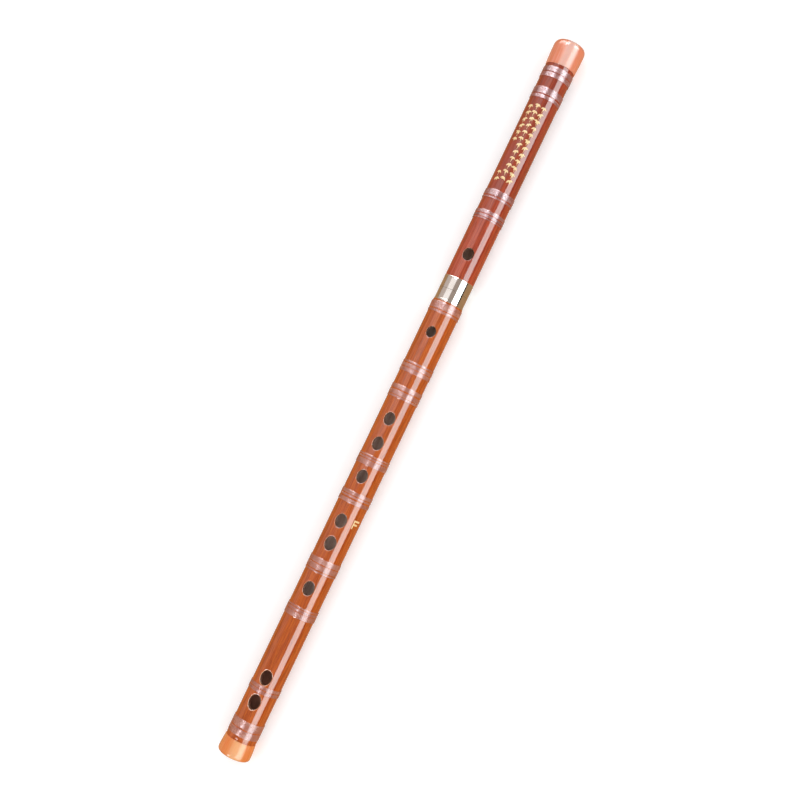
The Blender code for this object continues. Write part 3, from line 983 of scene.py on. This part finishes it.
def end_tree(tree, shape, finish, shape_out):
    """Shade a tree's shape smooth, make its instances real, give it its finish and put it out."""
    smooth = add_node(tree, "GeometryNodeSetShadeSmooth", {"Geometry": shape}).outputs[0]
    real = add_node(tree, "GeometryNodeRealizeInstances", {"Geometry": smooth}).outputs[0]
    done = add_node(tree, "GeometryNodeSetMaterial", {"Geometry": real, "Material": finish}).outputs[0]
    add_node(tree, "NodeGroupOutput", {shape_out: done})


def run_tree(name, mesh, tree, values):
    """Return a new plain mesh: what a tree makes of a mesh with these values for its inputs."""
    guide = add_object(name, mesh)
    modifier = guide.modifiers.new("tree", "NODES")
    modifier.node_group = tree
    identifiers = {item.name: item.identifier for item in tree.interface.items_tree}
    for value_name, value in values.items():
        modifier[identifiers[value_name]] = value
    bpy.context.view_layer.update()
    made = bpy.data.meshes.new_from_object(guide.evaluated_get(bpy.context.evaluated_depsgraph_get()))
    guide.modifiers.remove(modifier)
    bpy.data.objects.remove(guide)
    bpy.data.meshes.remove(mesh)
    made.name = name
    return made


# %% The winding tree


def winding_tree():
    """Return the tree that sweeps a flattened thread along a path."""
    tree, given = new_tree("wound thread", "Path", "Thread", {
        "Thread width": "NodeSocketFloat", "Thread height": "NodeSocketFloat",
        "Sides": "NodeSocketInt", "Finish": "NodeSocketMaterial"})
    curve = add_node(tree, "GeometryNodeMeshToCurve", {"Mesh": given["Path"]}).outputs[0]
    curve = add_node(tree, "GeometryNodeSetCurveNormal", {"Curve": curve}, mode="Z_UP").outputs[0]
    circle = add_node(tree, "GeometryNodeCurvePrimitiveCircle",
                      {"Resolution": given["Sides"], "Radius": 0.5}).outputs[0]
    size = add_node(tree, "ShaderNodeCombineXYZ",
                    {"X": given["Thread height"], "Y": given["Thread width"], "Z": 1.0}).outputs[0]
    section = add_node(tree, "GeometryNodeTransform", {"Geometry": circle, "Scale": size}).outputs[0]
    swept = add_node(tree, "GeometryNodeCurveToMesh",
                     {"Curve": curve, "Profile Curve": section, "Fill Caps": True}).outputs[0]
    end_tree(tree, swept, given["Finish"], "Thread")
    return tree


thread_tree = winding_tree()
print(thread_tree.name, "tree:", len(thread_tree.nodes), "nodes")

# %% [markdown]
# Bindings
#
# Each binding is its wound thread and the band of lacquer that it lies in. The band is turned, with
# edges that feather out on the bamboo, and the thread sinks into it a little. The two are joined in
# one mesh with two materials, so one piece stands for the frame's binding.

# %% Make the bindings
LAID_OVER = Matrix.Translation((0.0, 0.0, axis_z)) @ Matrix.Rotation(math.pi / 2, 4, "Y")
BED_HEIGHT = 0.20 * MM
BED_EDGE = 0.01 * MM
BED_CLEARANCE = 0.01 * MM
THREAD_SINK = 0.03 * MM
FEATHER = 0.55 * MM
FEATHER_STEPS = 4


def bed_shape(start, end, radius):
    """Return the lacquer band of a binding as a bmesh, its edges feathered on the bamboo."""
    foot = radius + BED_CLEARANCE
    edge = foot + BED_EDGE
    outline = [(start, foot), (start, edge)]
    for step in range(1, FEATHER_STEPS + 1):
        part = step / FEATHER_STEPS
        height = (1 - math.cos(part * math.pi)) / 2
        outline.append((start + FEATHER * part, edge + (radius + BED_HEIGHT - edge) * height))
    outline += [(start + end - x, height) for x, height in outline[:0:-1]]
    outline.append((end, foot))
    return turn_shape(outline, AROUND)


def make_binding(node, radius, silk, lacquer):
    """Make one binding: its thread, wound in groups, on its lacquer bed."""
    start, end = span(node)
    path = bpy.data.meshes.new(node + "_path")
    thread_radius = radius + BED_HEIGHT + THREAD_HEIGHT / 2 - THREAD_SINK
    points = thread_path(BINDING_GROUPS[node], start, thread_radius)
    path.from_pydata(points, [(number, number + 1) for number in range(len(points) - 1)], [])
    thread = run_tree(node + "_wound", path, thread_tree, {
        "Thread width": THREAD_WIDTH, "Thread height": THREAD_HEIGHT, "Sides": THREAD_SIDES,
        "Finish": silk})
    thread.transform(LAID_OVER)

    shape = bed_shape(start - FEATHER / 2, end + FEATHER / 2, radius)
    for face in shape.faces:
        face.material_index = 1
    shape.from_mesh(thread)
    bpy.data.meshes.remove(thread)
    dress(finish_mesh(shape, node + "_thread", [silk, lacquer]), node)


for node in BINDING_GROUPS:
    if node.startswith("head"):
        make_binding(node, head_radius, red_thread, red_bamboo)
    else:
        make_binding(node, foot_radius, orange_thread, orange_bamboo)

# %% [markdown]
# Gold sprigs
#
# A plain stretch of the head section carries small gold ornament in three rows. Bamboo leaves are a
# common motif on a flute, so here each row is a slender stem with a tuft of leaves at every joint.
# The sprigs are planned flat, with one axis along the flute and the other round it. Every leaf and
# every length of stem is a point with a turn and a size, the Geometry Nodes tree puts one
# lens-shaped leaf on each, and the flat result is then wrapped round the bamboo by a formula.

# %% Plan the sprigs
SPRIG_START = 54.6 * MM
STEMS = (
    (-32.0, 1.6 * MM, (range(0, 6), range(10, 12))),
    (-5.0, 0.0, (range(0, 12),)),
    (21.0, 0.8 * MM, (range(0, 12),)),
)
JOINT_STEP = 5.5 * MM
STEM_REACH = 0.94 * JOINT_STEP
STEM_WIDTH = 0.40 * MM
STEM_SWAY = 0.25 * MM
SWAY_TURN = 1.7
LEAF_LENGTH = (2.4 * MM, 3.4 * MM)
LEAF_WIDTH = (1.25 * MM, 1.65 * MM)
LEAF_FANS = ((-62.0, -12.0, 42.0), (-35.0, 25.0, 78.0), (-80.0, -28.0, 20.0, 66.0), (-50.0, 5.0, 55.0))
LEAF_FAN_SPREAD = 9.0
PAINT_HEIGHT = 0.10 * MM
SPRIG_SEED = 11


def plan_sprigs():
    """Return the place, turn and size of each leaf and stem length, on the flat."""
    chance = random.Random(SPRIG_SEED)
    marks = []

    def stem_joint(angle, offset, joint):
        """Return where a joint of a stem lies, along the flute and round it."""
        return (head_end + SPRIG_START + offset + joint * JOINT_STEP,
                math.radians(angle) * head_radius + STEM_SWAY * math.sin(SWAY_TURN * joint + angle))

    def add_mark(base, turn, length, width):
        """Add a leaf that grows from its base in the direction of its turn."""
        middle = (base[0] + math.cos(turn) * length / 2, base[1] + math.sin(turn) * length / 2, 0.0)
        marks.append((middle, turn, (length, width, PAINT_HEIGHT)))

    for angle, offset, runs in STEMS:
        for joints in runs:
            for joint in joints:
                base = stem_joint(angle, offset, joint)
                after = stem_joint(angle, offset, joint + 1)
                if joint != joints[-1]:
                    turn = math.atan2(after[1] - base[1], JOINT_STEP)
                    add_mark(base, turn, STEM_REACH, STEM_WIDTH)
                for fan in chance.choice(LEAF_FANS):
                    fan = math.radians(fan + chance.uniform(-LEAF_FAN_SPREAD, LEAF_FAN_SPREAD))
                    add_mark(base, fan, chance.uniform(*LEAF_LENGTH), chance.uniform(*LEAF_WIDTH))
    return marks


sprig_marks = plan_sprigs()
print("sprigs:", len(sprig_marks), "leaves and stems")

# %% The leaf tree


def leaf_tree():
    """Return the tree that puts a lens-shaped leaf on each point, with its own turn and size."""
    tree, given = new_tree("painted leaves", "Points", "Leaves", {
        "Segments": "NodeSocketInt", "Rings": "NodeSocketInt", "Widest part": "NodeSocketFloat",
        "Finish": "NodeSocketMaterial"})
    ball = add_node(tree, "GeometryNodeMeshUVSphere",
                    {"Segments": given["Segments"], "Rings": given["Rings"], "Radius": 1.0}).outputs[0]
    lying = add_node(tree, "GeometryNodeTransform",
                     {"Geometry": ball, "Rotation": (0.0, math.pi / 2, 0.0)}).outputs[0]
    place = add_node(tree, "ShaderNodeSeparateXYZ",
                     {0: add_node(tree, "GeometryNodeInputPosition").outputs[0]}).outputs
    square = calculate(tree, "MULTIPLY", place["X"], place["X"])
    left = calculate(tree, "SUBTRACT", 1.0, square, use_clamp=True)
    taper = calculate(tree, "SQRT", left)
    shift = calculate(tree, "MULTIPLY", left, given["Widest part"])
    lens = add_node(tree, "ShaderNodeCombineXYZ", {
        "X": calculate(tree, "SUBTRACT", place["X"], shift),
        "Y": calculate(tree, "MULTIPLY", place["Y"], taper),
        "Z": calculate(tree, "MULTIPLY", place["Z"], taper)}).outputs[0]
    halved = add_node(tree, "ShaderNodeVectorMath", {0: lens, "Scale": 0.5}, operation="SCALE").outputs[0]
    leaf = add_node(tree, "GeometryNodeSetPosition", {"Geometry": lying, "Position": halved}).outputs[0]
    turn, size = [add_node(tree, "GeometryNodeInputNamedAttribute", {"Name": name},
                           data_type="FLOAT_VECTOR").outputs["Attribute"] for name in ("turn", "size")]
    placed = add_node(tree, "GeometryNodeInstanceOnPoints",
                      {"Points": given["Points"], "Instance": leaf, "Rotation": turn,
                       "Scale": size}).outputs[0]
    end_tree(tree, placed, given["Finish"], "Leaves")
    return tree


painted_leaves = leaf_tree()
print(painted_leaves.name, "tree:", len(painted_leaves.nodes), "nodes")

# %% Paint the sprigs
LEAF_SEGMENTS = 8
LEAF_RINGS = 7
LEAF_WIDEST = 0.28


def wrap(mesh, radius):
    """Wrap a flat mesh round the flute: its y becomes the way round, and its z the height."""
    for corner in mesh.vertices:
        along, around, height = corner.co
        corner.co = on_tube(along, 0.0, radius + height, around / radius)


def make_sprigs():
    """Make the gold sprigs, wrapped round the head section."""
    points = bpy.data.meshes.new("sprig_points")
    points.from_pydata([middle for middle, _, _ in sprig_marks], [], [])
    turns = points.attributes.new("turn", "FLOAT_VECTOR", "POINT")
    sizes = points.attributes.new("size", "FLOAT_VECTOR", "POINT")
    for number, (_, turn, size) in enumerate(sprig_marks):
        turns.data[number].vector = (0.0, 0.0, turn)
        sizes.data[number].vector = size
    mesh = run_tree("gold_sprigs", points, painted_leaves, {
        "Segments": LEAF_SEGMENTS, "Rings": LEAF_RINGS, "Widest part": LEAF_WIDEST, "Finish": gold_paint})
    wrap(mesh, head_radius)
    piece = add_object("gold_sprigs", mesh)
    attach(piece, "head_section")
    print(f"gold sprigs: {len(mesh.polygons)} faces")


make_sprigs()

# %% [markdown]
# The key letter
#
# Every dizi is stamped with its key, as a dial is with its numbers. This one is in F. The letter is
# built from small oblong cells on the flat, so that it has corners enough to bend round the bamboo,
# given a paint's thickness and wrapped as the sprigs are. It stands beside the fourth finger hole,
# with its top to the head end.

# %% Paint the key letter
LETTER_ROWS = ("######", "######", "#.....", "#.....", "#####.", "#####.", "#.....", "#.....", "#.....",
               "#.....")
LETTER_CELL = (0.70 * MM, 0.95 * MM)
LETTER_X = head_end + 401.0 * MM
LETTER_Y = math.radians(61.0) * foot_radius
LETTER_HEIGHT = 0.06 * MM


def make_letter():
    """Make the key letter as a thin raised shape on the foot section."""
    shape = bmesh.new()
    corners = {}

    def corner(row, column):
        """Return a corner of the flat letter, made when it is first asked for."""
        if (row, column) not in corners:
            along = LETTER_X + (row - len(LETTER_ROWS) / 2) * LETTER_CELL[0]
            around = LETTER_Y + (column - len(LETTER_ROWS[0]) / 2) * LETTER_CELL[1]
            corners[(row, column)] = shape.verts.new((along, around, 0.0))
        return corners[(row, column)]

    for row, cells in enumerate(LETTER_ROWS):
        for column, cell in enumerate(cells):
            if cell == "#":
                shape.faces.new((corner(row, column), corner(row + 1, column),
                                 corner(row + 1, column + 1), corner(row, column + 1)))
    raised = bmesh.ops.extrude_face_region(shape, geom=list(shape.faces))
    for made in raised["geom"]:
        if isinstance(made, bmesh.types.BMVert):
            made.co.z += LETTER_HEIGHT
    piece = finish_mesh(shape, "gold_key_letter", [gold_paint])
    wrap(piece.data, foot_radius)
    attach(piece, "foot_section")
    print(f"key letter: {len(piece.data.polygons)} faces")


make_letter()

# %% [markdown]
# Floor, light and camera
#
# The picture is a plain studio one. A broad light overhead and the pale surroundings light the
# flute evenly, and panels that show only in reflections draw the highlights: a bright one to the
# right for the narrow line down its length, and dimmer ones above and to the left, where they fade
# towards the foot end. Each panel is placed by the angles at which it stands over the flute's axis,
# because those decide where round the tube its reflection falls. Four lamps stand beyond the
# flute's ends. From the camera the smooth bamboo doesn't mirror them, but the rounded strands of
# thread do, which gives the bindings their silky patches. In reflections the floor is a warm table
# tone, as round a real flute.

# %% The floor
FLOOR_SIZE = 40.0
FLOOR_CELLS = 8
FLOOR_NEAR = 0.7
FLOOR_FAR = 3.0
FLOOR_GLOW = 0.22
FLOOR_LIFT = 0.46
FLOOR_TONE = (0.86, 0.86, 0.86, 1)
TABLE_TONE = (0.46, 0.27, 0.13, 1)


def make_floor():
    """Stage a large pale floor that keeps its brightness where the lights don't reach."""
    material, tree, shader = new_finish("studio_floor")
    distance = add_node(tree, "ShaderNodeVectorMath",
                        {0: add_node(tree, "ShaderNodeTexCoord").outputs["Object"]},
                        operation="LENGTH").outputs["Value"]
    set_inputs(tree, shader, {
        "Base Color": FLOOR_TONE,
        "Roughness": 0.9,
        "Emission Color": (1, 1, 1, 1),
        "Emission Strength": rise(tree, distance, FLOOR_NEAR, FLOOR_FAR, FLOOR_GLOW, FLOOR_LIFT),
    })
    table = add_node(tree, "ShaderNodeEmission", {"Color": TABLE_TONE}).outputs[0]
    reflected = add_node(tree, "ShaderNodeLightPath").outputs["Is Glossy Ray"]
    seen = add_node(tree, "ShaderNodeMixShader", {0: reflected, 1: shader.outputs[0], 2: table}).outputs[0]
    tree.links.new(seen, tree.nodes["Material Output"].inputs["Surface"])
    shape = bmesh.new()
    bmesh.ops.create_grid(shape, x_segments=FLOOR_CELLS, y_segments=FLOOR_CELLS, size=FLOOR_SIZE / 2)
    floor = finish_mesh(shape, "studio_floor", [material])
    floor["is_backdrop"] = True


make_floor()
print("floor:", FLOOR_SIZE, "m across")

# %% The lights
LIGHT_DISTANCE = 2.0
LIGHT_LENGTH = 4.4
OVERHEAD = ("overhead", -35.0, 60.0, (0.72, 0.72, 0.72))
REFLECTION_PANELS = (
    ("panel_low", -88.0, -47.0, (0.58, 0.50, 0.46)),
    ("panel_left", -47.0, -4.0, (1.12, 1.08, 1.06), 2.35, -1.025),
    ("panel_left_end", -47.0, -4.0, (0.55, 0.52, 0.50), 0.30, 0.30),
    ("panel_left_far", -47.0, -4.0, (0.28, 0.25, 0.22), 1.60, 1.25),
    ("panel_top", -4.0, 34.5, (0.36, 0.30, 0.26)),
    ("panel_right", 34.5, 75.0, (4.3, 5.0, 5.1)),
)
THREAD_LAMPS = (
    ("lamp_left", -31.0, -8.0, (15.5, 15.5, 16.5), 2.4, -2.3),
    ("lamp_low", -80.0, -31.0, (8.0, 7.6, 7.6), 2.4, -2.3),
    ("lamp_right", 38.0, 72.0, (8.0, 8.4, 8.6), 2.4, -2.3),
    ("lamp_foot", -31.0, -8.0, (13.0, 13.0, 13.5), 2.4, 2.55),
)


def add_panel(name, low_angle, high_angle, radiance, length=LIGHT_LENGTH, along=0.0):
    """Add a light panel between two angles from straight up, positive towards +Y.

    It is as long as given, and its middle stands at a place along the flute.
    """
    middle = math.radians((low_angle + high_angle) / 2)
    half = math.radians((high_angle - low_angle) / 2)
    light = bpy.data.lights.new(name, "AREA")
    light.shape = "RECTANGLE"
    light.size = length
    light.size_y = 2 * LIGHT_DISTANCE * math.tan(half)
    brightest = max(radiance)
    light.energy = brightest * math.pi * light.size * light.size_y
    light.color = [value / brightest for value in radiance]
    panel = add_object(name, light)
    panel.location = (along, LIGHT_DISTANCE * math.sin(middle), LIGHT_DISTANCE * math.cos(middle))
    panel.rotation_euler = (-middle, 0.0, 0.0)
    panel.visible_camera = False
    return panel


add_panel(*OVERHEAD).visible_glossy = False
for panel in REFLECTION_PANELS + THREAD_LAMPS:
    add_panel(*panel).visible_diffuse = False
print("lights:", len(bpy.data.lights))

# %% The surroundings
BACKDROP = (0.92, 0.92, 0.92, 1)
FILL = (0.62, 0.62, 0.62, 1)
DARK_ROOM = (0.06, 0.04, 0.03, 1)

world = bpy.data.worlds.new("studio")
world.use_nodes = True
sky = world.node_tree
rays = add_node(sky, "ShaderNodeLightPath").outputs
surroundings = mix(sky, rays["Is Camera Ray"], FILL, BACKDROP)
surroundings = mix(sky, rays["Is Glossy Ray"], surroundings, DARK_ROOM)
sky.links.new(surroundings, sky.nodes["Background"].inputs["Color"])
bpy.context.scene.world = world
bpy.context.scene.view_settings.view_transform = "Standard"
print("world:", world.name)

# %% The camera
CAMERA_OVER = Vector((29.0 * MM, 0.0, axis_z))
CAMERA_LEAN = math.radians(13.5)
CAMERA_DISTANCE = 0.92
FLUTE_SLOPE = math.radians(64.5)
AIM_RIGHT = 10.8 * MM
AIM_UP = 26.45 * MM
FRAME_WIDTH = 610.5 * MM
SENSOR_WIDTH = 36.0


def add_camera():
    """Add the camera, leaning over the flute from its +Y side, with the head end at top right.

    Its lens is shifted, so that the picture's plane stays parallel to the flute.
    """
    outward = Vector((0.0, math.sin(CAMERA_LEAN), math.cos(CAMERA_LEAN)))
    over = Vector((0.0, math.cos(CAMERA_LEAN), -math.sin(CAMERA_LEAN)))
    along = Vector((1.0, 0.0, 0.0))
    right = -math.cos(FLUTE_SLOPE) * along + math.sin(FLUTE_SLOPE) * over
    up = -math.sin(FLUTE_SLOPE) * along - math.cos(FLUTE_SLOPE) * over
    data = bpy.data.cameras.new("studio_camera")
    data.sensor_width = SENSOR_WIDTH
    data.lens = SENSOR_WIDTH * CAMERA_DISTANCE / FRAME_WIDTH
    data.shift_x = AIM_RIGHT / FRAME_WIDTH
    data.shift_y = AIM_UP / FRAME_WIDTH
    camera = add_object("studio_camera", data)
    turned = Matrix((right, up, outward)).transposed().to_4x4()
    camera.matrix_world = Matrix.Translation(CAMERA_OVER + CAMERA_DISTANCE * outward) @ turned
    bpy.context.scene.camera = camera
    print(f"lens: {data.lens:.1f} mm")


add_camera()

# %% [markdown]
# Print the boxes
#
# The dressed flute's box is printed beside the plain model's, in millimetres. The
# dressed flute has to stay in the plain model's box.

# %% Print the boxes
visual_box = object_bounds()
for name, box in (("frame", cad_box), ("dressed", visual_box)):
    print(name, "box, mm:", [round(value / MM, 2) for corner in box for value in corner])
